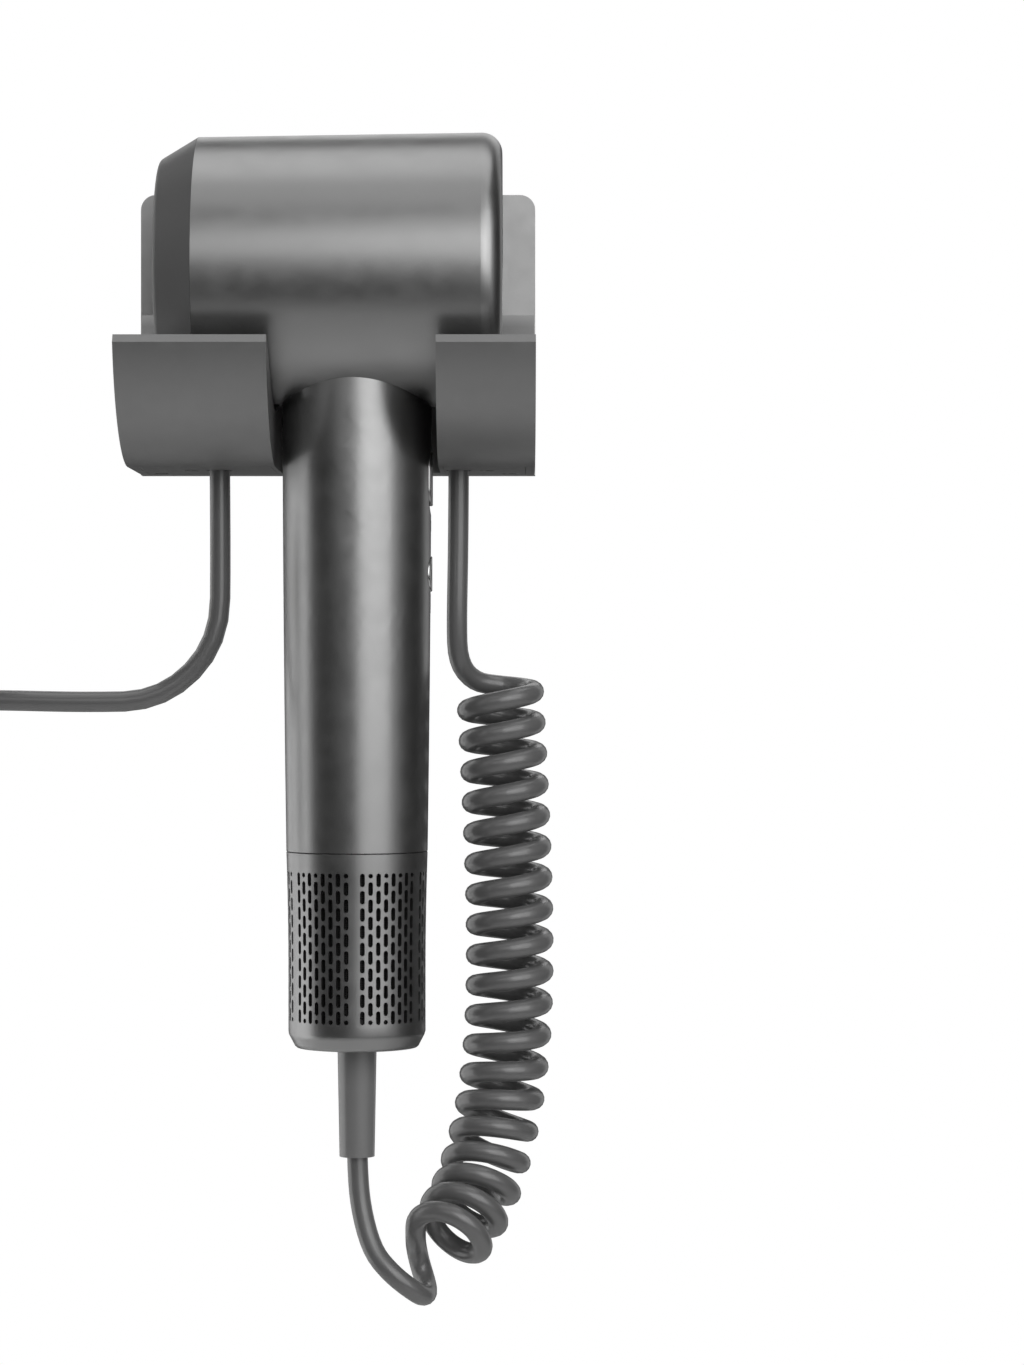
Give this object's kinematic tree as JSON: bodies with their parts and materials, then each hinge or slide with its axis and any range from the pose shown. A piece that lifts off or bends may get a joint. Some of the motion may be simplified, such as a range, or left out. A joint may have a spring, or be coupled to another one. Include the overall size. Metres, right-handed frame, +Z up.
{
  "type": "hair dryer",
  "caption": "Compact hair dryer with a hollow-centred barrel and perforated handle, hanging in a wall cradle with a curly lead and a supply lead to a plug.",
  "frame": {"origin": "middle of the cradle back plate, on the wall plane", "axes": "+Z up, +Y into the wall, +X to the right seen from the room; the dryer blows towards -X"},
  "size_m": [0.2439, 0.0868, 0.3208],
  "materials": {
    "steel": "brushed",
    "cradle": "satin",
    "screw": "zinc plated",
    "rubber_dark": "matte",
    "black_plastic": "matte",
    "white_plastic": "matte",
    "wire": "insulated",
    "cord": "glossy polyurethane",
    "tie": "woven hook and loop",
    "plug": "satin",
    "brass_pins": "nickel-free polished",
    "body_paint": "satin metallic",
    "dark_ring": "satin",
    "mica": "mica board",
    "heater_wire": "nickel chrome",
    "knurl": "vacuum metallised",
    "black_gloss": "gloss",
    "slider": "satin metallic",
    "silicone": "translucent silicone",
    "pcb": "solder mask",
    "components": "matte",
    "motor_metal": "machined",
    "filter": "fine woven mesh",
    "sleeve_metal": "satin metallic"
  },
  "bodies": {
    "cradle": {"wall_bracket": "steel", "cradle_shell": "cradle", "bottom_cover": "cradle", "cover_screws": "screw", "cord_glands": "rubber_dark", "cradle_clamps": "black_plastic", "terminal_block": "white_plastic", "link_wires": "wire", "left_pad": "rubber_dark", "right_pad": "rubber_dark", "supply_cord": "cord", "supply_tail": "cord", "supply_coil": "cord", "supply_tie": "tie", "plug_body": "plug", "plug_pins": "brass_pins", "curly_lead": "cord", "curly_coil": "cord", "curly_tail": "cord"},
    "dryer": {"head_shell": "body_paint", "front_ring": "dark_ring", "magnet_ring": "steel", "outlet_grille": "black_plastic", "bore_tube": "black_plastic", "heater_former": "mica", "heater_coil": "heater_wire", "heater_sleeve": "mica", "thermal_cutout": "steel", "ioniser": "white_plastic", "rear_frame": "black_plastic", "rear_disc": "knurl", "rear_bore_ring": "black_gloss", "rear_screws": "screw", "screw_caps": "knurl", "handle_shell": "body_paint", "slide_switch": "black_plastic", "button_dome": "silicone", "button_switch": "black_plastic", "switch_board": "pcb", "control_board": "pcb", "power_components": "components", "motor_housing": "motor_metal", "guide_vanes": "motor_metal", "end_bracket": "motor_metal", "bearing_upper": "steel", "bearing_lower": "steel", "stator": "steel", "isolator_upper": "rubber_dark", "isolator_lower": "rubber_dark", "power_leads": "wire", "inner_frame": "black_plastic", "filter_mesh": "filter", "strain_relief": "cord", "cord_clamp": "black_plastic"},
    "slider": {"power_slider": "slider"},
    "button": {"temperature_button": "knurl"},
    "rotor": {"rotor": "steel", "impeller": "motor_metal"},
    "sleeve": {"intake_sleeve": "sleeve_metal"}
  },
  "joints": [
    {"name": "dryer_lift", "type": "slide", "parent": "cradle", "child": "dryer", "axis": [0, 0, 1], "range_m": [0, 0.04]},
    {"name": "power_slide", "type": "slide", "parent": "dryer", "child": "slider", "axis": [0, 0, -1], "range_m": [0, 0.0022]},
    {"name": "button_press", "type": "slide", "parent": "dryer", "child": "button", "axis": [-1, 0, 0], "range_m": [0, 0.0008], "stiffness_N_per_m": 400, "springref_m": -0.0006, "deforming": ["button_dome"]},
    {"name": "motor_spin", "type": "hinge", "parent": "dryer", "child": "rotor", "pos_m": [0.007, -0.045, -0.11], "axis": [0, 0, 1], "continuous": true},
    {"name": "sleeve_pull", "type": "slide", "parent": "dryer", "child": "sleeve", "axis": [0, 0, -1], "range_m": [0, 0.025]}
  ]
}
